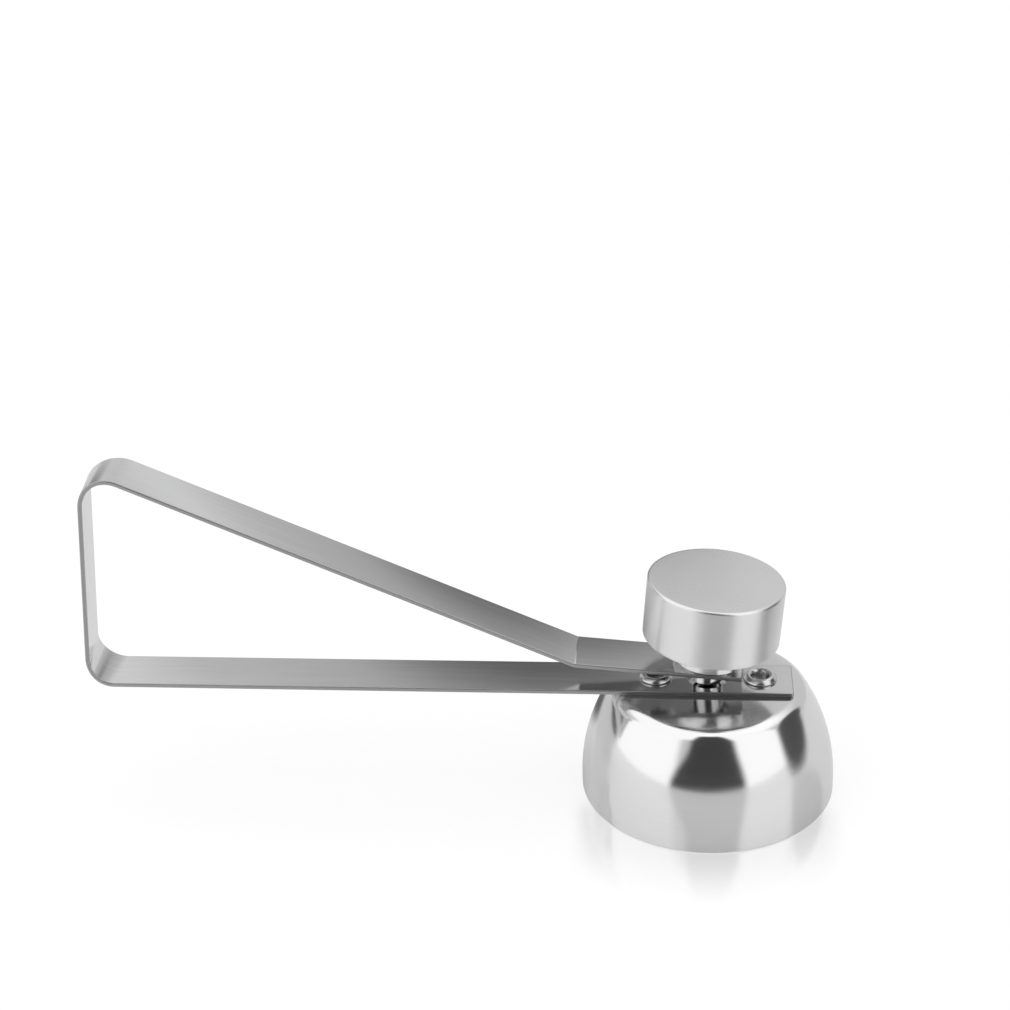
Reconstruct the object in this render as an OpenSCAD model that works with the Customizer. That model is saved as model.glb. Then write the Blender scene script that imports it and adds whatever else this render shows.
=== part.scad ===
// Egg topper: a steel bell, a looped handle of spring strip and a knob that hammers on the bell.
// The rim lies on Z = 0, the bell's axis is Z, and the handle points along -X.

/* [Bell] */
// Outer radius of the rim
rim_r = 17; // [16:0.25:19]
// Height from the rim to the flat top
bell_h = 15.4; // [13:0.2:18]
// Thickness of the bell's sheet
bell_wall = 0.9; // [0.6:0.1:1.2]
// Height of the straight band above the rim
rim_band_h = 1.5; // [1:0.1:2.5]
// Radius of the flat top
flat_r = 11.4; // [10.6:0.1:12]
// Radius of the rounded shoulder around the flat top
shoulder_r = 2.2; // [1.6:0.1:2.8]

/* [Strip] */
// Width of the spring strip
strip_w = 7.4; // [6.6:0.2:9]
// Thickness of the spring strip
strip_t = 0.6; // [0.5:0.05:0.9]
// Distance the strip's end stays back from the edge of the flat top
strip_setback = 0.2; // [0.1:0.1:1]

/* [Loop] */
// Distance from the bell's axis to the centre of the heel bend
handle_len = 80.8; // [60:0.2:100]
// Outer radius of the heel bend, at the far end of the bell arm
heel_r = 4; // [2.5:0.25:6]
// Length of the straight part of the back
back_len = 22.85; // [18:0.05:30]
// Lean of the back towards the bell, in degrees
back_lean = 5.6; // [0:0.2:10]
// Outer radius of the bend at the top of the back
top_r = 4.5; // [2.5:0.25:6]

/* [Hammer arm] */
// Clear height between the two arms on the hammer's axis
arm_gap = 2; // [1.4:0.05:3]
// Slope of the end section that carries the hammer, in degrees
end_slope = 4.8; // [2:0.2:8]
// Distance from the bell's axis to the crease where the end section starts
crease_x = 17.4; // [13:0.2:24]
// Inner radius of the crease
crease_r = 0.6; // [0.3:0.1:1.5]
// Length of the end section past the hammer's axis
end_past = 4.7; // [3:0.1:7]
// Distance from the top bend to the place where the strip is taken to flex
flex_from_bend = 2; // [1:0.5:8]

/* [Hammer] */
// Radius of the knob
knob_r = 9; // [7:0.25:11]
// Height of the knob
knob_h = 8.3; // [7.4:0.1:12]
// Bevel around the knob's edges
knob_edge = 0.3; // [0.1:0.05:0.6]
// Radius of the collar
collar_r = 4.6; // [3.4:0.1:6]
// Height of the collar
collar_h = 3.95; // [3:0.05:6]
// Bevel around the collar's edges
collar_edge = 0.6; // [0.1:0.05:0.8]
// Radius of the striker pin
pin_r = 2.1; // [1.9:0.05:2.3]
// Radius of the pin's domed tip
tip_r = 3.7; // [2.4:0.1:8]
// Radius of the pin's shank
shank_r = 1.5; // [1.2:0.05:1.7]
// Depth of the shank in the knob
shank_in_knob = 5; // [3:0.25:6]

/* [Rivets] */
// Distance between the two rivets
rivet_pitch = 13.8; // [12.8:0.1:14.2]
// Radius of a rivet's shank
rivet_r = 1.5; // [1.3:0.05:1.6]
// Radius of the rivet's head, inside the bell
rivet_head_r = 2.5; // [2.1:0.1:3]
// Height of the rivet's head
rivet_head_h = 0.7; // [0.4:0.1:1.2]
// Radius of the rolled ring, on top of the strip
roll_r = 2.2; // [1.9:0.05:2.6]
// Height of the rolled ring
roll_h = 0.75; // [0.5:0.05:1]
// Radius of the hollow in the ring
hollow_r = 1.1; // [0.7:0.05:1.2]
// Depth of the hollow below the top of the strip
hollow_depth = 0.5; // [0.2:0.1:0.9]

/* [Fits] */
// Radial clearance of the pin in the bell arm's hole
pin_clear = 0.5; // [0.4:0.05:0.8]
// Radial clearance around the pin's shank
shank_clear = 0.03; // [0.02:0.01:0.1]
// Length of the knob's blind bore past the end of the shank
bore_past = 0.5; // [0.2:0.1:1]
// Radial clearance around a rivet's shank
rivet_clear = 0.03; // [0.02:0.01:0.1]
// Gap between the pin's tip and the bell at rest
tip_gap = 0.05; // [0.02:0.01:0.1]
// Gap between the two stretches of strip where it flexes
flex_gap = 0.05; // [0.02:0.01:0.1]

/* [Hidden] */

$fn = 96;
bend_steps = 20;
roll_steps = 10;
cut = 1; // how far a cutting shape runs past what it cuts

// Directions, as angles in the X-Z plane. The strip's outline is followed from the bell arm's end,
// with the loop's outer face on its left.
ahead_bell_arm = 180;
ahead_back = 90 - back_lean;
left = 90;

function unit(a) = [cos(a), sin(a)];
function arc(c, r, a0, a1, n = bend_steps) = [for (i = [0 : n]) c + r * unit(a0 + (a1 - a0) * i / n)];
function reversed(list) = [for (i = [len(list) - 1 : -1 : 0]) list[i]];

// Bell: a straight band, a side curve upright at the band, and a shoulder tangent to side and top
side_in = rim_r - flat_r;
side_rise = bell_h - shoulder_r - rim_band_h;
side_r = (pow(side_in, 2) + pow(side_rise, 2) - pow(shoulder_r, 2)) / (2 * (side_in - shoulder_r));
side_centre = [rim_r - side_r, rim_band_h];
shoulder_centre = [flat_r, bell_h - shoulder_r];
side_end_angle = atan2(side_rise, shoulder_centre[0] - side_centre[0]);

// Loop: bell arm, heel bend, back, top bend
arm_top = bell_h + strip_t;
arm_end_x = flat_r - strip_setback;
heel_centre = [-handle_len, bell_h + heel_r];
back_start = heel_centre + heel_r * unit(ahead_back + left);
back_end = back_start + back_len * unit(ahead_back);
top_centre = back_end - top_r * unit(ahead_back + left);

// Hammer arm: its end section crosses the bell's axis, and its long run is tangent to the top bend
seat_z = arm_top + arm_gap + strip_t / cos(end_slope);
crease = [-crease_x, seat_z + crease_x * tan(end_slope)];
to_crease = crease - top_centre;
arm_slope = asin(top_r / norm(to_crease)) - atan2(to_crease[1], to_crease[0]);
arm_start = top_centre + top_r * unit(left - arm_slope);
flex_at = arm_start + flex_from_bend * unit(-arm_slope);
crease_turn = arm_slope - end_slope;
crease_reach = crease_r * tan(crease_turn / 2);
crease_centre = crease - crease_reach * unit(-arm_slope) + crease_r * unit(left - arm_slope);
arm_end = [0, seat_z] + end_past * unit(-end_slope);

// Hammer: collar and knob stand on the end section, and the pin hangs from it
pin_hole_r = pin_r + pin_clear;
shank_hole_r = shank_r + shank_clear;
rivet_hole_r = rivet_r + rivet_clear;
tip_h = tip_r - sqrt(pow(tip_r, 2) - pow(pin_r, 2)); // height of the dome
tip_dip = tip_r * (1 - cos(end_slope)); // how much deeper the tilted dome reaches than its middle
pin_tip = (seat_z - bell_h - tip_gap - tip_dip) / cos(end_slope);
knob_seat = collar_h;
bell_under = bell_h - bell_wall;
roll_edge = (roll_r - hollow_r) / 2;

// Half section of the bell's outer shape, drawn smaller all round by inset and carried down by below
module bell_section(inset, below) {
    translate([0, -below])
        square([rim_r - inset, rim_band_h + below]);
    square([flat_r, bell_h - inset]);
    intersection() {
        translate(side_centre) circle(side_r - inset);
        translate([0, rim_band_h])
            square([rim_r - inset, side_rise + (shoulder_r - inset) * sin(side_end_angle)]);
    }
    translate(shoulder_centre) circle(shoulder_r - inset);
}

// Extrudes a shape drawn in the X-Z plane across the strip's width
module across() {
    rotate([90, 0, 0])
        linear_extrude(strip_w, center = true) children();
}

// Children placed on the end section, with +Z along the hammer's axis and 0 on the strip's top
module on_seat() {
    translate([0, 0, seat_z])
        rotate([0, end_slope, 0]) children();
}

module at_rivets() {
    for (side = [-1, 1])
        translate([side * rivet_pitch / 2, 0, 0]) children();
}

// A round bar with both edges bevelled
module turned_bar(r, h, edge) {
    rotate_extrude()
        polygon([[0, 0], [r - edge, 0], [r, edge], [r, h - edge], [r - edge, h], [0, h]]);
}

module bell() {
    color("gainsboro")
        difference() {
            rotate_extrude() bell_section(0, 0);
            rotate_extrude() bell_section(bell_wall, cut);
            at_rivets()
                translate([0, 0, bell_under - cut]) cylinder(h = bell_wall + 2 * cut, r = rivet_hole_r);
        }
}

// Bell arm, heel, back and top bend, up to the place where the strip flexes
module handle_loop() {
    outer = concat(
        [[arm_end_x, bell_h]],
        arc(heel_centre, heel_r, ahead_bell_arm + left, ahead_back + left),
        arc(top_centre, top_r, ahead_back + left, left - arm_slope),
        [flex_at]
    );
    inner = concat(
        [[arm_end_x, arm_top]],
        arc(heel_centre, heel_r - strip_t, ahead_bell_arm + left, ahead_back + left),
        arc(top_centre, top_r - strip_t, ahead_back + left, left - arm_slope),
        [flex_at - strip_t * unit(left - arm_slope)]
    );
    color("silver")
        difference() {
            across() polygon(concat(outer, reversed(inner)));
            translate([0, 0, bell_h - cut]) cylinder(h = strip_t + 2 * cut, r = pin_hole_r);
            at_rivets()
                translate([0, 0, bell_h - cut]) cylinder(h = strip_t + 2 * cut, r = rivet_hole_r);
        }
}

// The long run, the crease and the end section that carries the hammer
module hammer_arm() {
    start = flex_at + flex_gap * unit(-arm_slope);
    upper = concat(
        [start],
        arc(crease_centre, crease_r, -left - arm_slope, -left - end_slope, roll_steps),
        [arm_end]
    );
    under = concat(
        [start - strip_t * unit(left - arm_slope)],
        arc(crease_centre, crease_r + strip_t, -left - arm_slope, -left - end_slope, roll_steps),
        [arm_end - strip_t * unit(left - end_slope)]
    );
    color("silver")
        difference() {
            across() polygon(concat(upper, reversed(under)));
            on_seat()
                translate([0, 0, -strip_t - cut]) cylinder(h = strip_t + 2 * cut, r = shank_hole_r);
        }
}

// Semi-tubular rivets: a head inside the bell, and a hollow end rolled outwards over the strip
module rivets() {
    color("darkgray")
        at_rivets()
            difference() {
                union() {
                    translate([0, 0, bell_under - rivet_head_h]) cylinder(h = rivet_head_h, r = rivet_head_r);
                    translate([0, 0, bell_under - rivet_head_h])
                        cylinder(h = rivet_head_h + bell_wall + strip_t + roll_edge, r = rivet_r);
                    translate([0, 0, arm_top])
                        rotate_extrude()
                            polygon(concat(
                                [[hollow_r / 2, 0], [roll_r, 0]],
                                arc([roll_r - roll_edge, roll_h - roll_edge], roll_edge, 0, 90, roll_steps),
                                [[hollow_r / 2, roll_h]]
                            ));
                }
                translate([0, 0, arm_top - hollow_depth])
                    cylinder(h = hollow_depth + roll_h + cut, r = hollow_r);
            }
}

module collar() {
    color("gainsboro")
        on_seat()
            difference() {
                turned_bar(collar_r, collar_h, collar_edge);
                translate([0, 0, -cut]) cylinder(h = collar_h + 2 * cut, r = shank_hole_r);
            }
}

module knob() {
    color("lightgray")
        on_seat()
            translate([0, 0, knob_seat])
                difference() {
                    turned_bar(knob_r, knob_h, knob_edge);
                    translate([0, 0, -cut])
                        cylinder(h = cut + shank_in_knob + bore_past, r = shank_hole_r);
                }
}

// The pin strikes the bell's flat top through the hole in the bell arm
module striker_pin() {
    color("gainsboro")
        on_seat() {
            intersection() {
                translate([0, 0, -pin_tip]) cylinder(h = tip_h, r = pin_r);
                translate([0, 0, tip_r - pin_tip]) sphere(tip_r);
            }
            translate([0, 0, tip_h - pin_tip]) cylinder(h = pin_tip - tip_h - strip_t, r = pin_r);
            translate([0, 0, -strip_t - pin_r / 2])
                cylinder(h = strip_t + pin_r / 2 + knob_seat + shank_in_knob, r = shank_r);
        }
}

bell();
handle_loop();
rivets();
hammer_arm();
collar();
knob();
striker_pin();
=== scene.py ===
import math

import bpy
from mathutils import Matrix, Vector


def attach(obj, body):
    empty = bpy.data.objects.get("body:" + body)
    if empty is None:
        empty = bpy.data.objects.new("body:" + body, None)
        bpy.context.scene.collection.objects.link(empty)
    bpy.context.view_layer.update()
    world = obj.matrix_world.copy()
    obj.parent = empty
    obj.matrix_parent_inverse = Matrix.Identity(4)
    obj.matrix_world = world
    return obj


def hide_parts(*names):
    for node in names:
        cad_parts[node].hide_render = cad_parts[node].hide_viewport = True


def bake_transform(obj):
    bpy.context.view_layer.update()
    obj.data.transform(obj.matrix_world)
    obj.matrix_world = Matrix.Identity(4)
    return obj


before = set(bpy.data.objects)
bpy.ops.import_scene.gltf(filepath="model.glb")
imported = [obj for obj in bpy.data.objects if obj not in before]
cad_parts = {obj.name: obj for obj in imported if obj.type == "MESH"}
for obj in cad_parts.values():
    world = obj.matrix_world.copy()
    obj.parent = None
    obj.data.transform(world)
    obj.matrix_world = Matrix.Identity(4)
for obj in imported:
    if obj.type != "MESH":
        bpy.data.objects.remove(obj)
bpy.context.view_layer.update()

mm = 0.001  # settings below are in millimetres, Blender works in metres
weld = 0.0005  # points closer than this become one
touch = 0.05  # a point this close to a place counts as there
loopBody = "bell_and_handle"
hammerBody = "hammer"


def clearSelection():
    active = bpy.context.object
    if active and active.mode != "OBJECT":
        bpy.ops.object.mode_set(mode="OBJECT")
    bpy.ops.object.select_all(action="DESELECT")


def pickOnly(piece):
    clearSelection()
    piece.select_set(True)
    bpy.context.view_layer.objects.active = piece


def nameActive(name):
    piece = bpy.context.object
    piece.name = name
    piece.data.name = name
    return piece


def arcPoints(centre, radius, startAngle, endAngle, steps):
    # points of an arc in a plane, angles in degrees
    points = []
    for i in range(steps + 1):
        angle = math.radians(startAngle + (endAngle - startAngle) * i / steps)
        points.append((centre[0] + radius * math.cos(angle), centre[1] + radius * math.sin(angle)))
    return points


def dropSelection(mesh):
    for part in (mesh.vertices, mesh.edges, mesh.polygons):
        part.foreach_set("select", [False] * len(part))


def turnOutwards(piece, closing=True):
    # closes what stays open and points all faces outwards
    pickOnly(piece)
    bpy.ops.object.mode_set(mode="EDIT")
    bpy.ops.mesh.select_all(action="SELECT")
    if closing:
        bpy.ops.mesh.fill_holes(sides=0)
        bpy.ops.mesh.select_all(action="SELECT")
    bpy.ops.mesh.normals_make_consistent(inside=False)
    bpy.ops.object.mode_set(mode="OBJECT")


def turnOnLathe(name, rings, sides):
    # draws a circle out ring by ring, each ring being (radius, height), and closes what stays open
    clearSelection()
    radius, height = rings[0]
    bpy.ops.mesh.primitive_circle_add(vertices=sides, radius=radius * mm, location=(0, 0, height * mm))
    piece = nameActive(name)
    bpy.ops.object.transform_apply(location=True, rotation=False, scale=False)
    bpy.ops.object.mode_set(mode="EDIT")
    bpy.ops.mesh.select_all(action="SELECT")
    for nextRadius, nextHeight in rings[1:]:
        step = (0, 0, (nextHeight - height) * mm)
        bpy.ops.mesh.extrude_edges_move(TRANSFORM_OT_translate={"value": step})
        grow = nextRadius / radius
        bpy.ops.transform.resize(value=(grow, grow, 1), center_override=(0, 0, nextHeight * mm))
        radius, height = nextRadius, nextHeight
    bpy.ops.mesh.select_all(action="SELECT")
    bpy.ops.mesh.remove_doubles(threshold=weld * mm)
    turnOutwards(piece)
    return piece


def placePiece(piece, location, tilt=0):
    # tilt leans the piece's top towards +X; the place ends up in the mesh
    pickOnly(piece)
    piece.location = Vector(location) * mm
    piece.rotation_euler = (0, math.radians(tilt), 0)
    bpy.ops.object.transform_apply(location=True, rotation=True, scale=True)


def applyModifier(piece, kind, **values):
    pickOnly(piece)
    modifier = piece.modifiers.new(kind.title(), kind)
    for key, value in values.items():
        setattr(modifier, key, value)
    bpy.ops.object.modifier_apply(modifier=modifier.name)


def drillHole(piece, radius, centre, tilt=0, depth=6):
    clearSelection()
    bpy.ops.mesh.primitive_cylinder_add(vertices=64, radius=radius * mm, depth=depth * mm)
    drill = bpy.context.object
    drill.location = Vector(centre) * mm
    drill.rotation_euler = (0, math.radians(tilt), 0)
    bpy.ops.object.transform_apply(location=True, rotation=True, scale=True)
    applyModifier(piece, "BOOLEAN", operation="DIFFERENCE", solver="EXACT", object=drill)
    bpy.data.objects.remove(drill, do_unlink=True)


def smoothPiece(piece, angle=35):
    pickOnly(piece)
    bpy.ops.object.shade_smooth_by_angle(angle=math.radians(angle))
    applyModifier(piece, "WEIGHTED_NORMAL", mode="FACE_AREA", keep_sharp=True)


def selectEdges(piece, wanted):
    # leaves edit mode with only the edges whose two ends pass the test
    bpy.ops.object.mode_set(mode="OBJECT")
    mesh = piece.data
    dropSelection(mesh)
    for edge in mesh.edges:
        if all(wanted(mesh.vertices[i].co / mm) for i in edge.vertices):
            edge.select = True
            for i in edge.vertices:
                mesh.vertices[i].select = True
    bpy.ops.object.mode_set(mode="EDIT")
    bpy.ops.mesh.select_mode(type="EDGE")


def addNode(tree, kind, **values):
    node = tree.nodes.new(kind)
    for key, value in values.items():
        setattr(node, key, value)
    return node


def mathNode(tree, operation, first, second=None):
    node = addNode(tree, "ShaderNodeMath", operation=operation)
    for socket, value in zip(node.inputs, (first, second)):
        if value is None:
            continue
        if isinstance(value, (int, float)):
            socket.default_value = value
        else:
            tree.links.new(value, socket)
    return node.outputs[0]


def rangeNode(tree, value, fromLow, fromHigh, toLow, toHigh, smooth=False):
    node = addNode(tree, "ShaderNodeMapRange", interpolation_type="SMOOTHSTEP" if smooth else "LINEAR")
    tree.links.new(value, node.inputs["Value"])
    node.inputs["From Min"].default_value = fromLow
    node.inputs["From Max"].default_value = fromHigh
    node.inputs["To Min"].default_value = toLow
    node.inputs["To Max"].default_value = toHigh
    return node.outputs["Result"]


def insideRange(tree, value, low, high, soft):
    rise = rangeNode(tree, value, low - soft, low + soft, 0, 1, True)
    fall = rangeNode(tree, value, high - soft, high + soft, 1, 0, True)
    return mathNode(tree, "MULTIPLY", rise, fall)


def noiseNode(tree, vector, scale, detail=3, rough=0.5):
    node = addNode(tree, "ShaderNodeTexNoise")
    tree.links.new(vector, node.inputs["Vector"])
    node.inputs["Scale"].default_value = scale
    node.inputs["Detail"].default_value = detail
    node.inputs["Roughness"].default_value = rough
    return node.outputs["Fac"]


def emptyTree(owner):
    owner.use_nodes = True
    owner.node_tree.nodes.clear()
    return owner.node_tree


def mixShaders(tree, share, first, second):
    mix = addNode(tree, "ShaderNodeMixShader")
    for socket, source in zip(mix.inputs, (share, first.outputs[0], second.outputs[0])):
        tree.links.new(source, socket)
    return mix


def turnedGrain(tree, centred, look):
    # fine lines round the axis of a turned piece, a little uneven
    split = addNode(tree, "ShaderNodeSeparateXYZ")
    tree.links.new(centred, split.inputs[0])
    across = mathNode(tree, "MULTIPLY", split.outputs["X"], split.outputs["X"])
    along = mathNode(tree, "MULTIPLY", split.outputs["Y"], split.outputs["Y"])
    radius = mathNode(tree, "SQRT", mathNode(tree, "ADD", across, along))
    wander = noiseNode(tree, centred, look["wanderScale"], 2)
    ring = mathNode(tree, "ADD", radius, mathNode(tree, "MULTIPLY", wander, look["wander"] * mm))
    lines = addNode(tree, "ShaderNodeCombineXYZ")
    tree.links.new(ring, lines.inputs["X"])
    tree.links.new(mathNode(tree, "ADD", split.outputs["Z"], ring), lines.inputs["Y"])
    return lines.outputs[0]


def rolledGrain(tree, centred, look):
    # fine lines along the strip
    stretched = addNode(tree, "ShaderNodeMapping")
    stretched.inputs["Scale"].default_value = look["stretch"]
    tree.links.new(centred, stretched.inputs["Vector"])
    return stretched.outputs[0]


def steelFinish(name, look):
    grainSpread = (0.3, 0.7)  # the two noises mostly lie between these
    smudgeSpread = (0.35, 0.65)
    bumpDepth = 0.02
    tilt = math.radians(-look.get("tilt", 0))
    material = bpy.data.materials.new(name)
    material.use_nodes = True
    tree = material.node_tree
    shader = tree.nodes["Principled BSDF"]
    shader.inputs["Metallic"].default_value = 1
    shader.inputs["Anisotropic"].default_value = look.get("anisotropic", 0)
    shader.inputs["Anisotropic Rotation"].default_value = look.get("grainTurn", 0)
    mapping = addNode(tree, "ShaderNodeMapping")
    tree.links.new(addNode(tree, "ShaderNodeTexCoord").outputs["Object"], mapping.inputs["Vector"])
    turn = Matrix.Rotation(tilt, 3, "Y")
    mapping.inputs["Location"].default_value = -(turn @ (Vector(look.get("centre", (0, 0, 0))) * mm))
    mapping.inputs["Rotation"].default_value = (0, tilt, 0)
    centred = mapping.outputs["Vector"]
    if look.get("anisotropic", 0):
        tangent = addNode(tree, "ShaderNodeTangent", direction_type="RADIAL", axis="Z")
        tree.links.new(tangent.outputs[0], shader.inputs["Tangent"])
    grainVector = look["grain"](tree, centred, look)
    grain = noiseNode(tree, grainVector, look["grainScale"], 4, 0.6)
    smudge = noiseNode(tree, centred, look["smudgeScale"], 3, 0.5)
    # a little light and dark from the grain, and from the larger smudges
    tone = mathNode(tree, "ADD", mathNode(tree, "MULTIPLY", grain, look["grainTone"]),
                    mathNode(tree, "MULTIPLY", smudge, look["smudgeTone"]))
    middle = (look["grainTone"] + look["smudgeTone"]) / 2
    mix = addNode(tree, "ShaderNodeMix", data_type="RGBA")
    tree.links.new(rangeNode(tree, tone, middle - 0.5, middle + 0.5, 0, 1), mix.inputs["Factor"])
    mix.inputs[6].default_value = (*look["darkColour"], 1)
    mix.inputs[7].default_value = (*look["lightColour"], 1)
    tree.links.new(mix.outputs[2], shader.inputs["Base Color"])
    rough = mathNode(tree, "ADD", rangeNode(tree, grain, *grainSpread, *look["roughness"]),
                     rangeNode(tree, smudge, *smudgeSpread, -look["smudgeRough"], look["smudgeRough"]))
    tree.links.new(rough, shader.inputs["Roughness"])
    bump = addNode(tree, "ShaderNodeBump")
    bump.inputs["Strength"].default_value = look["bump"]
    bump.inputs["Distance"].default_value = bumpDepth * mm
    tree.links.new(grain, bump.inputs["Height"])
    tree.links.new(bump.outputs[0], shader.inputs["Normal"])
    return material


def finishPiece(piece, materials, body, nodes):
    piece.data.materials.clear()
    for material in materials:
        piece.data.materials.append(material)
    if body:
        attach(piece, body)
    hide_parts(*nodes)


bell = {
    "rimRadius": 16.99,
    "height": 15.4,
    "wall": 0.9,
    "band": 1.5,
    "flatRadius": 11.4,
    "shoulder": 2.2,
    "rimRound": 0.22,
    "rivetHole": 1.53,
    "rivetPitch": 13.8,
    "middle": 0.6,  # radius of the first and last ring
    "flatStep": 0.4,  # the last flat ring lies this far inside the shoulder
    "shoulderSteps": 14,
    "sideSteps": 22,
    "rimSteps": 5,
    "innerSteps": 10,
}
bellLook = {
    "grain": turnedGrain,
    "darkColour": (0.68, 0.68, 0.685),
    "lightColour": (0.85, 0.85, 0.85),
    "roughness": (0.11, 0.14),
    "smudgeRough": 0.012,
    "grainScale": 2600,
    "grainTone": 0.25,
    "smudgeScale": 60,
    "smudgeTone": 0.2,
    "wanderScale": 90,
    "wander": 0.6,
    "bump": 0.03,
    "anisotropic": 0.3,
    "grainTurn": 0.25,
}


def bellRings(s):
    # outside from the middle of the top to the rim, then back up the inside
    sideIn = s["rimRadius"] - s["flatRadius"]
    sideRise = s["height"] - s["shoulder"] - s["band"]
    sideRadius = (sideIn ** 2 + sideRise ** 2 - s["shoulder"] ** 2) / (2 * (sideIn - s["shoulder"]))
    sideCentre = (s["rimRadius"] - sideRadius, s["band"])
    shoulderCentre = (s["flatRadius"], s["height"] - s["shoulder"])
    sideEnd = math.degrees(math.atan2(sideRise, shoulderCentre[0] - sideCentre[0]))
    edge = s["rimRound"]
    inner = s["rimRadius"] - s["wall"]
    flat, under = s["flatRadius"] - s["flatStep"], s["height"] - s["wall"]
    rings = [(s["middle"], s["height"]), (flat, s["height"])]
    rings += arcPoints(shoulderCentre, s["shoulder"], 90, sideEnd, s["shoulderSteps"])
    rings += arcPoints(sideCentre, sideRadius, sideEnd, 0, s["sideSteps"])[1:]
    rings += arcPoints((s["rimRadius"] - edge, edge), edge, 0, -90, s["rimSteps"])
    rings += arcPoints((inner + edge, edge), edge, -90, -180, s["rimSteps"])
    rings += arcPoints(sideCentre, sideRadius - s["wall"], 0, sideEnd, s["sideSteps"])
    rings += arcPoints(shoulderCentre, s["shoulder"] - s["wall"], sideEnd, 90, s["innerSteps"])[1:]
    rings += [(flat, under), (s["middle"], under)]
    return rings


print("bell")
bellPiece = turnOnLathe("bellShell", bellRings(bell), sides=160)
for side in (-1, 1):
    drillHole(bellPiece, bell["rivetHole"], (side * bell["rivetPitch"] / 2, 0, bell["height"]))
smoothPiece(bellPiece)
finishPiece(bellPiece, [steelFinish("polishedBell", bellLook)], loopBody, ["bell"])

# the strip is one bent ribbon, parted in the back of the loop so that the upper stretch can bend
strip = {
    "width": 7.4,
    "thickness": 0.6,
    "bellEnd": 11.2,
    "bellTop": 15.4,
    "handleLength": 80.28,  # 0.52 less than the solids', so the skewed far edge stays inside their box
    "heelRadius": 4,
    "backLength": 22.62,  # 0.23 less than the solids', which keeps the upper arm on their line
    "backLean": 5.6,
    "backSkew": 8,  # the back is bent a little askew, and its far edge stands further out
    "topRadius": 4.5,
    "seam": 0.7,
    "creaseDistance": 17.4,
    "creaseRadius": 0.6,
    "endSlope": 4.8,
    "endPast": 4.7,
    "seatHeight": 18.602,
    "cornerRound": 0.35,
    "edgeRound": 0.14,
    "pinHole": 2.6,
    "shankHole": 1.53,
    "drillDepth": 2,
    "bendSteps": 24,
    "bendingRun": 6,  # finely divided start of the upper arm, where it bends when lifted
    "bendOver": 4,
    "upperArm": (-70, 17),  # to the right of and above these, faces belong to the upper arm
    "levelFrom": -15,  # right of this the strip lies nearly level
    "levelNormal": 0.97,
    "edgeNormal": 0.2,
}
stripLook = {
    "grain": rolledGrain,
    "stretch": (0.03, 1, 0.03),
    "darkColour": (0.60, 0.60, 0.605),
    "lightColour": (0.82, 0.82, 0.82),
    "roughness": (0.10, 0.15),
    "smudgeRough": 0.02,
    "grainScale": 2200,
    "grainTone": 0.4,
    "smudgeScale": 45,
    "smudgeTone": 0.3,
    "bump": 0.04,
}
shearedLook = dict(stripLook, darkColour=(0.34, 0.34, 0.34), lightColour=(0.5, 0.5, 0.5),
                   roughness=(0.28, 0.36), smudgeTone=0.2)


def direction(angle):
    return Vector((math.cos(math.radians(angle)), 0, math.sin(math.radians(angle))))


def stripPlaces(s):
    # where the strip's outer face starts and ends its bends, as the handle's side view shows them
    outwards = direction(180 - s["backLean"])
    heelCentre = Vector((-s["handleLength"], 0, s["bellTop"] + s["heelRadius"]))
    backStart = heelCentre + outwards * s["heelRadius"]
    backEnd = backStart + direction(90 - s["backLean"]) * s["backLength"]
    topCentre = backEnd - outwards * s["topRadius"]
    rise = s["creaseDistance"] * math.tan(math.radians(s["endSlope"]))
    crease = Vector((-s["creaseDistance"], 0, s["seatHeight"] + rise))
    toCrease = crease - topCentre
    drop = math.asin(s["topRadius"] / toCrease.length) - math.atan2(toCrease.z, toCrease.x)
    armSlope = math.degrees(drop)
    reach = s["creaseRadius"] * math.tan(math.radians(armSlope - s["endSlope"]) / 2)
    creaseStart = crease - direction(-armSlope) * reach
    return {
        "heelCentre": heelCentre,
        "backStart": backStart,
        "backEnd": backEnd,
        "seam": backStart.lerp(backEnd, s["seam"]),
        "topCentre": topCentre,
        "armSlope": armSlope,
        "armStart": topCentre + direction(90 - armSlope) * s["topRadius"],
        "creaseStart": creaseStart,
        "creaseCentre": creaseStart + direction(90 - armSlope) * s["creaseRadius"],
        "creaseEnd": crease + direction(-s["endSlope"]) * reach,
        "armEnd": Vector((0, 0, s["seatHeight"])) + direction(-s["endSlope"]) * s["endPast"],
    }


def startRibbon(name, start, end, width):
    # a flat plane from start to end, as wide as the strip
    clearSelection()
    run = end - start
    bpy.ops.mesh.primitive_plane_add(size=1)
    ribbon = nameActive(name)
    ribbon.scale = (run.length * mm, width * mm, 1)
    ribbon.rotation_euler = (0, -math.atan2(run.z, run.x), 0)
    ribbon.location = (start + end) / 2 * mm
    bpy.ops.object.transform_apply(location=True, rotation=True, scale=True)
    return ribbon


def pickEnd(ribbon, place):
    selectEdges(ribbon, lambda co: (Vector((co.x, 0, co.z)) - place).length < touch)


def bendRibbon(ribbon, place, centre, angle, steps):
    pickEnd(ribbon, place)
    bpy.ops.mesh.spin(steps=steps, angle=-math.radians(angle), center=centre * mm, axis=(0, 1, 0))


def runRibbon(length, angle, steps=1):
    # carries the end that is still selected straight on
    move = direction(angle) * (length * mm / steps)
    for i in range(steps):
        bpy.ops.mesh.extrude_edges_move(TRANSFORM_OT_translate={"value": move})


def roundEnd(ribbon, place, radius, steps=4):
    # rounds the two corners of a free end
    pickEnd(ribbon, place)
    bpy.ops.mesh.select_mode(type="VERT")
    bpy.ops.mesh.bevel(offset=radius * mm, segments=steps, affect="VERTICES")
    bpy.ops.mesh.select_mode(type="EDGE")


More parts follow.
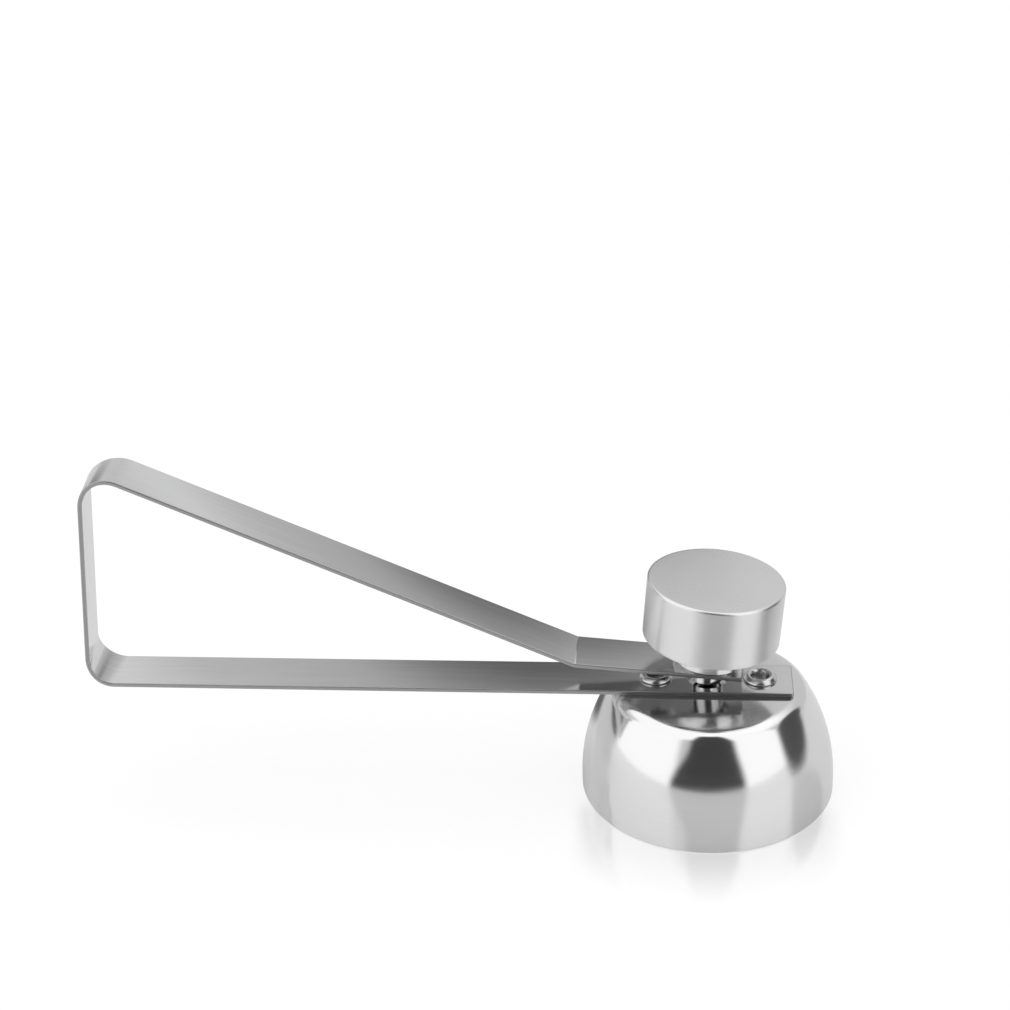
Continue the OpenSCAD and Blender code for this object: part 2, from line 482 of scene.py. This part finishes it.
def skewShare(place, p):
    # 1 along the back of the loop, fading to 0 through the bends at its two ends
    if place.z < p["backStart"].z:
        whole = (p["backStart"] - p["heelCentre"]).angle(Vector((0, 0, -1)))
        turned = (place - p["heelCentre"]).angle(Vector((0, 0, -1))) / whole
        share = turned if place.x < p["heelCentre"].x else 0
    elif place.z < p["backEnd"].z:
        share = 1 if place.x < p["topCentre"].x else 0
    else:
        armSide = p["armStart"] - p["topCentre"]
        whole = (p["backEnd"] - p["topCentre"]).angle(armSide)
        share = (place - p["topCentre"]).angle(armSide) / whole if place.x < p["armStart"].x else 0
    share = min(max(share, 0), 1)
    return share * share * (3 - 2 * share)


def skewBack(ribbon, p, angle, least=0.002):
    # turns each crosswise line of the back about the vertical
    bpy.ops.object.mode_set(mode="OBJECT")
    lines = {(round(v.co.x / mm, 3), round(v.co.z / mm, 3)) for v in ribbon.data.vertices}
    for x, z in sorted(lines):
        place = Vector((x, 0, z))
        share = skewShare(place, p)
        if share < least:
            continue
        pickEnd(ribbon, place)
        bpy.ops.transform.rotate(value=-math.radians(angle * share), orient_axis="Z",
                                 center_override=place * mm)


def thickenRibbon(ribbon, inwards, thickness):
    bpy.ops.object.mode_set(mode="EDIT")
    bpy.ops.mesh.select_all(action="SELECT")
    bpy.ops.mesh.remove_doubles(threshold=weld * mm)
    bpy.ops.mesh.normals_make_consistent(inside=False)
    bpy.ops.object.mode_set(mode="OBJECT")
    # the thickness goes to the inside of the loop
    side = 1 if ribbon.data.polygons[0].normal.dot(inwards) < 0 else -1
    applyModifier(ribbon, "SOLIDIFY", thickness=thickness * mm, offset=-side, use_even_offset=True)
    turnOutwards(ribbon, closing=False)


def roundEdges(ribbon, radius, steps=3, sharpness=50):
    pickOnly(ribbon)
    bpy.ops.object.mode_set(mode="EDIT")
    bpy.ops.mesh.select_mode(type="EDGE")
    bpy.ops.mesh.select_all(action="DESELECT")
    bpy.ops.mesh.edges_select_sharp(sharpness=math.radians(sharpness))
    bpy.ops.mesh.bevel(offset=radius * mm, segments=steps, affect="EDGES")
    bpy.ops.object.mode_set(mode="OBJECT")


def partAtSeam(ribbon, name, seam, along, upperArm):
    # takes the faces past the seam, and those of the upper arm, into a piece of their own
    pickOnly(ribbon)
    mesh = ribbon.data
    dropSelection(mesh)
    for face in mesh.polygons:
        middle = face.center / mm
        inArm = middle.x > upperArm[0] and middle.z > upperArm[1]
        face.select = (middle - seam).dot(along) > 0 or inArm
    bpy.ops.object.mode_set(mode="EDIT")
    bpy.ops.mesh.select_mode(type="FACE")
    bpy.ops.mesh.separate(type="SELECTED")
    bpy.ops.object.mode_set(mode="OBJECT")
    parted = [piece for piece in bpy.context.selected_objects if piece != ribbon][0]
    parted.name = name
    parted.data.name = name
    for piece in (ribbon, parted):
        turnOutwards(piece)
    return parted


def markSheared(ribbon, s):
    # the second material goes on the sheared edges, the ends and the walls of the holes
    for face in ribbon.data.polygons:
        if face.center.x / mm > s["levelFrom"]:
            sheared = abs(face.normal.z) < s["levelNormal"]
        else:
            sheared = abs(face.normal.y) > s["edgeNormal"]
        face.material_index = 1 if sheared else 0


places = stripPlaces(strip)
backAngle = 90 - strip["backLean"]
armAngle = -places["armSlope"]
upperShare = 1 - strip["seam"]

print("strip")
bellEnd = Vector((strip["bellEnd"], 0, strip["bellTop"]))
heelStart = Vector((places["heelCentre"].x, 0, strip["bellTop"]))
lowerStrip = startRibbon("lowerStrip", bellEnd, heelStart, strip["width"])
bendRibbon(lowerStrip, heelStart, places["heelCentre"], 180 - backAngle, strip["bendSteps"])
runRibbon(strip["backLength"] * strip["seam"], backAngle, steps=4)
runRibbon(strip["backLength"] * upperShare, backAngle, steps=2)
bendRibbon(lowerStrip, places["backEnd"], places["topCentre"], backAngle - armAngle, strip["bendSteps"])
runRibbon(strip["bendingRun"], armAngle, steps=12)
armRest = (places["creaseStart"] - places["armStart"]).length - strip["bendingRun"]
runRibbon(armRest, armAngle, steps=6)
creaseAngle = armAngle + strip["endSlope"]
bendRibbon(lowerStrip, places["creaseStart"], places["creaseCentre"], creaseAngle, steps=8)
runRibbon((places["armEnd"] - places["creaseEnd"]).length, -strip["endSlope"])
roundEnd(lowerStrip, bellEnd, strip["cornerRound"])
roundEnd(lowerStrip, places["armEnd"], strip["cornerRound"])
skewBack(lowerStrip, places, strip["backSkew"])
thickenRibbon(lowerStrip, Vector((0, 0, 1)), strip["thickness"])
deep = strip["drillDepth"]
drillHole(lowerStrip, strip["pinHole"], (0, 0, strip["bellTop"]), depth=deep)
drillHole(lowerStrip, strip["shankHole"], (0, 0, strip["seatHeight"]), strip["endSlope"], depth=deep)
for side in (-1, 1):
    drillHole(lowerStrip, bell["rivetHole"], (side * bell["rivetPitch"] / 2, 0, strip["bellTop"]), depth=deep)
roundEdges(lowerStrip, strip["edgeRound"])
upperStrip = partAtSeam(lowerStrip, "upperStrip", places["seam"], direction(backAngle), strip["upperArm"])
stripSteel = [steelFinish("springStrip", stripLook), steelFinish("shearedEdge", shearedLook)]
smoothPiece(lowerStrip)
smoothPiece(upperStrip)
finishPiece(lowerStrip, stripSteel, loopBody, ["handle_loop"])
finishPiece(upperStrip, stripSteel, None, ["handle_loop", "hammer_arm"])
markSheared(lowerStrip, strip)
markSheared(upperStrip, strip)
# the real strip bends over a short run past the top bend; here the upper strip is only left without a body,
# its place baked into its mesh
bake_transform(upperStrip)

hammer = {
    "seat": (0, 0, 18.602),
    "tilt": 4.8,
    "knobRadius": 9,
    "knobHeight": 8.3,
    "knobRound": 0.3,
    "collarRadius": 4.6,
    "collarHeight": 3.95,
    "collarBevel": 0.6,
    "pinRadius": 2.1,
    "pinTip": 3.149,
    "tipRadius": 3.7,
    "shankRadius": 1.5,
    "boreRadius": 1.53,
    "boreDepth": 5.5,
    "knobStep": 0.2,
    "knobLand": 0.15,
    "knobMiddle": 1.2,
    "edgeSteps": 5,
    "collarCorner": 0.06,
    "domeTrim": 2,  # degrees left out at both ends of the dome's arc
    "domeSteps": 12,
    "pinEdge": 0.06,
    "pinNeck": 0.14,
    "pinClear": 0.01,
    "shankReach": 5,  # how far the shank goes up into the knob
    "shankBevel": 0.1,
}
knobSideLook = {
    "grain": turnedGrain,
    "tilt": hammer["tilt"],
    "centre": hammer["seat"],
    "darkColour": (0.68, 0.68, 0.68),
    "lightColour": (0.84, 0.84, 0.84),
    "roughness": (0.31, 0.36),
    "smudgeRough": 0.02,
    "grainScale": 3200,
    "grainTone": 0.4,
    "smudgeScale": 90,
    "smudgeTone": 0.15,
    "wanderScale": 120,
    "wander": 0.3,
    "bump": 0.08,
    "anisotropic": 0.9,
    "grainTurn": 0.25,
}
knobTopLook = dict(knobSideLook, roughness=(0.28, 0.288), anisotropic=0, bump=0.003, grainTone=0.05)
collarLook = dict(knobSideLook, roughness=(0.17, 0.22), anisotropic=0.8, bump=0.04)
pinLook = dict(bellLook, tilt=hammer["tilt"], centre=hammer["seat"], anisotropic=0)


def knobRings(s):
    radius, height, edge = s["knobRadius"], s["knobHeight"], s["knobRound"]
    flat = radius - edge - s["knobStep"]
    rings = [(s["boreRadius"], s["boreDepth"]), (s["boreRadius"], 0), (flat, 0)]
    rings += arcPoints((radius - edge, edge), edge, -90, 0, s["edgeSteps"])
    rings += [(radius, edge + s["knobLand"]), (radius, height - edge - s["knobLand"])]
    rings += arcPoints((radius - edge, height - edge), edge, 0, 90, s["edgeSteps"])
    rings += [(flat, height), (s["knobMiddle"], height)]
    return rings


def collarRings(s):
    # bevelled at both ends, with the bevels' corners slightly rounded
    radius, height, bevel = s["collarRadius"], s["collarHeight"], s["collarBevel"]
    corner = s["collarCorner"]
    rings = [(s["boreRadius"], height), (s["boreRadius"], 0), (radius - bevel - corner, 0)]
    rings += [(radius - bevel + corner / 2, corner), (radius - corner, bevel - corner / 2)]
    rings += [(radius, bevel + corner), (radius, height - bevel - corner)]
    rings += [(radius - corner, height - bevel + corner / 2), (radius - bevel + corner / 2, height - corner)]
    rings += [(radius - bevel - corner, height), (s["boreRadius"], height)]
    return rings


def pinRings(s):
    # a domed tip below the strip, and a thinner shank up into the knob
    radius, dome, trim = s["pinRadius"], s["tipRadius"], s["domeTrim"]
    domeCentre = (0, dome - s["pinTip"])
    side = math.degrees(math.asin(radius / dome))
    rings = arcPoints(domeCentre, dome, -90 + trim, -90 + side - trim, s["domeSteps"])
    rings += [(radius, domeCentre[1] - math.sqrt(dome ** 2 - radius ** 2) + s["pinEdge"])]
    under = strip["thickness"] + s["pinClear"]
    top = s["collarHeight"] + s["shankReach"]
    rings += [(radius, -under - s["pinNeck"]), (radius, -under), (s["shankRadius"], -under)]
    rings += [(s["shankRadius"], top - s["shankBevel"]), (s["shankRadius"] - s["shankBevel"], top)]
    return rings


print("hammer")
hammerAxis = Matrix.Rotation(math.radians(hammer["tilt"]), 3, "Y") @ Vector((0, 0, 1))
knobPlace = Vector(hammer["seat"]) + hammerAxis * hammer["collarHeight"]
knobPiece = turnOnLathe("knobHead", knobRings(hammer), sides=128)
placePiece(knobPiece, knobPlace, hammer["tilt"])
collarPiece = turnOnLathe("collarRing", collarRings(hammer), sides=128)
placePiece(collarPiece, hammer["seat"], hammer["tilt"])
pinPiece = turnOnLathe("strikerPin", pinRings(hammer), sides=96)
placePiece(pinPiece, hammer["seat"], hammer["tilt"])
for piece in (knobPiece, collarPiece, pinPiece):
    smoothPiece(piece, angle=30)
knobSteel = [steelFinish("satinKnobSide", knobSideLook), steelFinish("satinKnobTop", knobTopLook)]
finishPiece(knobPiece, knobSteel, hammerBody, ["knob"])
for face in knobPiece.data.polygons:
    face.material_index = 1 if abs(face.normal.dot(hammerAxis)) > 0.9 else 0
collarSteel = steelFinish("turnedCollar", collarLook)
finishPiece(collarPiece, [collarSteel], hammerBody, ["collar"])
finishPiece(pinPiece, [steelFinish("polishedPin", pinLook)], hammerBody, ["striker_pin"])

rivet = {
    "headRadius": 2.5,
    "headHeight": 0.7,
    "bellUnder": 14.5,
    "stripTop": 16,
    "shankRadius": 1.5,
    "rollRadius": 2.2,
    "rollHeight": 0.75,
    "hollowRadius": 1.1,
    "hollowDepth": 0.5,
    "crumple": 0.09,
    "crumpleRadius": 0.9,
    "crumpleBand": 0.02,
    "middle": 0.3,
    "headStep": 0.5,
    "headRound": 0.35,
    "clear": 0.01,
    "footInset": 0.25,
    "footRound": 0.22,
    "footHeight": 0.23,
    "rollInset": 0.62,
    "rollRound": 0.4,
    "wallFoot": 0.15,
    "wallLean": 0.05,
    "floorStep": 0.2,
    "floorRise": 0.08,
    "floorRings": (0.75, 0.6, 0.45, 0.3, 0.15),
    "hollowFrom": 15,
    "hollowPast": 0.2,
    "hollowMargin": 0.02,
}
rivetLook = dict(bellLook, centre=(bell["rivetPitch"] / 2, 0, 0), darkColour=(0.5, 0.5, 0.5),
                 lightColour=(0.74, 0.74, 0.74), roughness=(0.2, 0.27), anisotropic=0,
                 smudgeScale=320, smudgeTone=0.6)
# painted shade: the hollow's steel is given a darker colour than the rest of the rivet, standing in for the
# shade down in the recess; its greater roughness is real
shadedHollowLook = dict(rivetLook, darkColour=(0.35, 0.35, 0.35), lightColour=(0.66, 0.66, 0.66),
                  roughness=(0.3, 0.42), smudgeScale=900, smudgeTone=0.9)


def rivetRings(s):
    # from the head inside the bell up the outside, over the rolled ring and down into the hollow
    under, top, head = s["bellUnder"], s["stripTop"], s["headRadius"]
    low, bend, clear = under - s["headHeight"], s["headRound"], s["clear"]
    roll, shank, hollow = s["rollRadius"], s["shankRadius"], s["hollowRadius"]
    rings = [(s["middle"], low), (head - s["headStep"], low)]
    rings += arcPoints((head - bend, low + bend), bend, -80, 0, 4)
    rings += [(head, under - clear), (shank, under - clear), (shank, top + clear)]
    rings += [(roll - s["footInset"], top + clear)]
    rings += arcPoints((roll - s["footRound"], top + s["footHeight"]), s["footRound"], -60, 20, 4)
    rollCentre = (roll - s["rollInset"], top + s["rollHeight"] - s["rollRound"])
    rings += arcPoints(rollCentre, s["rollRound"], 40, 170, 8)
    rings += [(hollow, top + s["wallFoot"])]
    rings += [(hollow - s["wallLean"], top - s["hollowDepth"] + s["wallFoot"])]
    for radius in (hollow - s["floorStep"], *s["floorRings"]):
        rings += [(radius, top - s["hollowDepth"] + s["floorRise"])]
    return rings


print("rivets")
rivetRight = turnOnLathe("rivetRight", rivetRings(rivet), sides=48)
hollowFloor = rivet["stripTop"] - rivet["hollowDepth"] + rivet["floorRise"]


def onHollowFloor(co):
    level = abs(co.z - hollowFloor) < rivet["crumpleBand"]
    return level and math.hypot(co.x, co.y) < rivet["crumpleRadius"]


selectEdges(rivetRight, onHollowFloor)
bpy.ops.transform.vertex_random(offset=rivet["crumple"] * mm, seed=5)
smoothPiece(rivetRight, angle=50)
rivetSteel = [steelFinish("rivetSteel", rivetLook), steelFinish("rivetHollowShade", shadedHollowLook)]
finishPiece(rivetRight, rivetSteel, loopBody, ["rivets"])
# faces down in the hollow get the darker steel, which paints shade into the recess
for face in rivetRight.data.polygons:
    inside = math.hypot(face.center.x, face.center.y) < (rivet["hollowRadius"] + rivet["hollowMargin"]) * mm
    deep = rivet["hollowFrom"] * mm < face.center.z < (rivet["stripTop"] + rivet["hollowPast"]) * mm
    face.material_index = 1 if deep and inside else 0
rivetLeft = rivetRight.copy()
rivetLeft.data = rivetRight.data.copy()
rivetLeft.name = "rivetLeft"
rivetLeft.data.name = "rivetLeft"
bpy.context.scene.collection.objects.link(rivetLeft)
placePiece(rivetRight, (bell["rivetPitch"] / 2, 0, 0))
placePiece(rivetLeft, (-bell["rivetPitch"] / 2, 0, 0))
for piece in (rivetRight, rivetLeft):
    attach(piece, loopBody)

camera = {
    "place": (-0.0026762, -0.2064935, 0.1413192),  # in metres, as fitted to the photograph
    "turn": (64.310, 2.286, 5.382),
    "lens": 63.92,
    "sensor": 36,
    "clip": (0.01, 20),  # in metres
}
bpy.ops.object.camera_add(location=camera["place"], rotation=[math.radians(a) for a in camera["turn"]])
photoCamera = bpy.context.object
photoCamera.name = "photoCamera"
photoCamera.data.lens = camera["lens"]
photoCamera.data.sensor_width = camera["sensor"]
photoCamera.data.clip_start, photoCamera.data.clip_end = camera["clip"]
bpy.context.scene.camera = photoCamera

floor = {
    "size": 4,  # in metres
    "colour": (0.90, 0.90, 0.90),
    "white": 1.085,
    "whiteShare": 0.72,
    "glossyShare": 0.25,
    "mirror": 0.3,  # share of the floor's shine close to the bell, as the camera sees it
    "mirrorFade": (17, 29),  # distances from the bell's axis between which that shine goes
    "mirrorFront": (-9, -4),  # and how far in front of it
    "mirrorSide": (14.5, 18.5),  # and to its two sides
    "mirrorInMetal": 0.3,
    "mirrorRough": 0.12,
}


def floorMaterial(s):
    material = bpy.data.materials.new("paleFloor")
    tree = emptyTree(material)
    output = addNode(tree, "ShaderNodeOutputMaterial")
    matt = addNode(tree, "ShaderNodeBsdfDiffuse")
    matt.inputs["Color"].default_value = (*s["colour"], 1)
    glow = addNode(tree, "ShaderNodeEmission")
    glow.inputs["Strength"].default_value = s["white"]
    rays = addNode(tree, "ShaderNodeLightPath")
    seen = rays.outputs["Is Camera Ray"]
    mirrored = mathNode(tree, "MAXIMUM", rays.outputs["Is Glossy Ray"], rays.outputs["Is Transmission Ray"])
    share = mathNode(tree, "ADD", mathNode(tree, "MULTIPLY", seen, s["whiteShare"]),
                     mathNode(tree, "MULTIPLY", mirrored, s["glossyShare"]))
    pale = mixShaders(tree, share, matt, glow)
    away = addNode(tree, "ShaderNodeVectorMath", operation="LENGTH")
    place = addNode(tree, "ShaderNodeTexCoord").outputs["Object"]
    tree.links.new(place, away.inputs[0])
    split = addNode(tree, "ShaderNodeSeparateXYZ")
    tree.links.new(place, split.inputs[0])
    inFront = rangeNode(tree, split.outputs["Y"], *[y * mm for y in s["mirrorFront"]], 1, 0, True)
    nearBell = rangeNode(tree, away.outputs["Value"], s["mirrorFade"][0] * mm, s["mirrorFade"][1] * mm,
                         s["mirror"], 0, True)
    aside = mathNode(tree, "ABSOLUTE", split.outputs["X"])
    below = rangeNode(tree, aside, *[x * mm for x in s["mirrorSide"]], 1, 0, True)
    nearBell = mathNode(tree, "MULTIPLY", nearBell, mathNode(tree, "MULTIPLY", inFront, below))
    shineShare = mathNode(tree, "ADD", mathNode(tree, "MULTIPLY", seen, nearBell),
                          mathNode(tree, "MULTIPLY", mirrored, s["mirrorInMetal"]))
    shine = addNode(tree, "ShaderNodeBsdfAnisotropic")
    shine.inputs["Roughness"].default_value = s["mirrorRough"]
    both = mixShaders(tree, shineShare, pale, shine)
    tree.links.new(both.outputs[0], output.inputs["Surface"])
    return material


clearSelection()
bpy.ops.mesh.primitive_plane_add(size=floor["size"])
floorPlane = nameActive("floorPlane")
floorPlane.data.materials.append(floorMaterial(floor))

# grey cards around the tool, seen only in the metal, keep the flat faces from washing out
# each is an oval, with its light given at distances counted in ovals, and fades out around it
backCard = {
    "name": "backCard",
    "place": (-26, 60, 46),
    "turn": (90, 0, 0),
    "oval": (28, 12),
    "tones": [(0.4, 0.13), (0.85, 0.26), (1.3, 0.5), (2.25, 0.61), (2.8, 0.82)],
    "fade": (2.9, 3.6),
    "fadeRight": (29, 41),
}
sideCard = {
    "name": "sideCard",
    "place": (60, 4, 32.5),
    "turn": (90, -54, 90),
    "oval": (39, 20),
    "tones": [(0, 0.08), (1, 0.1)],
    "fade": (0.75, 1.15),
}
floorCard = {
    "name": "floorCard",
    "place": (-15, 38, 0.5),
    "turn": (0, 0, 0),
    "oval": (30, 20),
    "tones": [(0, 0.12), (1, 0.16)],
    "fade": (0.75, 1.2),
}


def cardMaterial(s):
    material = bpy.data.materials.new(s["name"])
    tree = emptyTree(material)
    split = addNode(tree, "ShaderNodeSeparateXYZ")
    tree.links.new(addNode(tree, "ShaderNodeTexCoord").outputs["Object"], split.inputs[0])
    across = mathNode(tree, "DIVIDE", split.outputs["X"], s["oval"][0] * mm)
    along = mathNode(tree, "DIVIDE", split.outputs["Y"], s["oval"][1] * mm)
    squares = mathNode(tree, "ADD", mathNode(tree, "MULTIPLY", across, across),
                       mathNode(tree, "MULTIPLY", along, along))
    away = mathNode(tree, "SQRT", squares)
    farthest = s["fade"][1]
    ramp = addNode(tree, "ShaderNodeValToRGB")
    tree.links.new(mathNode(tree, "DIVIDE", away, farthest), ramp.inputs[0])
    while len(ramp.color_ramp.elements) < len(s["tones"]):
        ramp.color_ramp.elements.new(0.5)
    for element, (distance, strength) in zip(ramp.color_ramp.elements, s["tones"]):
        element.position = distance / farthest
        element.color = (strength, strength, strength, 1)
    share = rangeNode(tree, away, *s["fade"], 1, 0, True)
    if "fadeRight" in s:
        rightward = rangeNode(tree, split.outputs["X"], *[x * mm for x in s["fadeRight"]], 1, 0, True)
        share = mathNode(tree, "MULTIPLY", share, rightward)
    glow = addNode(tree, "ShaderNodeEmission")
    tree.links.new(ramp.outputs[0], glow.inputs["Color"])
    mix = mixShaders(tree, share, addNode(tree, "ShaderNodeBsdfTransparent"), glow)
    output = addNode(tree, "ShaderNodeOutputMaterial")
    tree.links.new(mix.outputs[0], output.inputs["Surface"])
    return material


for card in (backCard, sideCard, floorCard):
    clearSelection()
    bpy.ops.mesh.primitive_plane_add(size=1, location=Vector(card["place"]) * mm)
    cardPlane = nameActive(card["name"])
    reach = 2 * card["fade"][1]
    cardPlane.rotation_euler = [math.radians(a) for a in card["turn"]]
    stretch = (reach * card["oval"][0] * mm, reach * card["oval"][1] * mm, 1, 1)
    cardPlane.data.transform(Matrix.Diagonal(stretch))
    cardPlane.data.materials.append(cardMaterial(card))
    cardPlane.visible_camera = False
    cardPlane.visible_diffuse = False
    cardPlane.visible_shadow = False

# a tent of light around the tool: directions in degrees, 0 towards the camera side, positive to the right
studio = {
    "back": 0.68,
    "overhead": 1.3,
    "overheadFrom": (33, 55),
    "patches": [
        {"from": -98, "to": -30, "low": -5, "high": 95, "soft": 5, "strength": 1.25},
        {"from": -170, "to": -30, "low": 45, "high": 95, "soft": 5, "strength": 1.25},
        {"from": 28, "to": 80, "low": -5, "high": 95, "soft": 5, "strength": 1.25},
        {"from": -130, "to": -100, "low": -20, "high": 12, "soft": 5, "strength": 0.1},
        {"from": -152, "to": -125, "low": 0, "high": 30, "soft": 5, "strength": 0.15},
    ],
    "gap": {
        "middle": 0.4,
        "lean": 4.6,
        "half": 34,
        "narrower": 10,
        "narrowBy": 30,
        "high": 76,
        "soft": 4,
        "strength": 0.06,
    },
}


def buildStudio(s):
    world = bpy.data.worlds.new("studioTent")
    bpy.context.scene.world = world
    tree = emptyTree(world)
    split = addNode(tree, "ShaderNodeSeparateXYZ")
    tree.links.new(addNode(tree, "ShaderNodeTexCoord").outputs["Generated"], split.inputs[0])
    back = mathNode(tree, "MULTIPLY", split.outputs["Y"], -1)
    around = mathNode(tree, "MULTIPLY", mathNode(tree, "ARCTAN2", split.outputs["X"], back), 180 / math.pi)
    height = mathNode(tree, "MULTIPLY", mathNode(tree, "ARCSINE", split.outputs["Z"]), 180 / math.pi)

    def paintOver(light, share, strength):
        change = mathNode(tree, "MULTIPLY", share, mathNode(tree, "SUBTRACT", strength, light))
        return mathNode(tree, "ADD", light, change)

    light = rangeNode(tree, height, *s["overheadFrom"], s["back"], s["overhead"], True)
    for patch in s["patches"]:
        soft = patch["soft"]
        share = mathNode(tree, "MULTIPLY", insideRange(tree, around, patch["from"], patch["to"], soft),
                         insideRange(tree, height, patch["low"], patch["high"], soft))
        light = paintOver(light, share, patch["strength"])
    # the dark gap between the two front boxes narrows upwards
    gap = s["gap"]
    middle = rangeNode(tree, height, 0, gap["narrowBy"], gap["middle"], gap["middle"] + gap["lean"], True)
    turned = mathNode(tree, "SUBTRACT", around, middle)
    aside = mathNode(tree, "ADD", mathNode(tree, "ABSOLUTE", turned),
                     rangeNode(tree, height, 0, gap["narrowBy"], 0, gap["narrower"], True))
    inGap = rangeNode(tree, aside, gap["half"] - gap["soft"], gap["half"] + gap["soft"], 1, 0, True)
    underTop = rangeNode(tree, height, gap["high"] - gap["soft"], gap["high"] + gap["soft"], 1, 0, True)
    light = paintOver(light, mathNode(tree, "MULTIPLY", inGap, underTop), gap["strength"])
    tent = addNode(tree, "ShaderNodeBackground")
    tent.inputs["Color"].default_value = (1, 1, 1, 1)
    tree.links.new(light, tent.inputs["Strength"])
    white = addNode(tree, "ShaderNodeBackground")
    white.inputs["Color"].default_value = (1, 1, 1, 1)
    white.inputs["Strength"].default_value = 1
    seen = addNode(tree, "ShaderNodeLightPath").outputs["Is Camera Ray"]
    mix = mixShaders(tree, seen, tent, white)
    output = addNode(tree, "ShaderNodeOutputWorld")
    tree.links.new(mix.outputs[0], output.inputs["Surface"])


print("studio")
buildStudio(studio)
bpy.context.scene.view_settings.view_transform = "Standard"
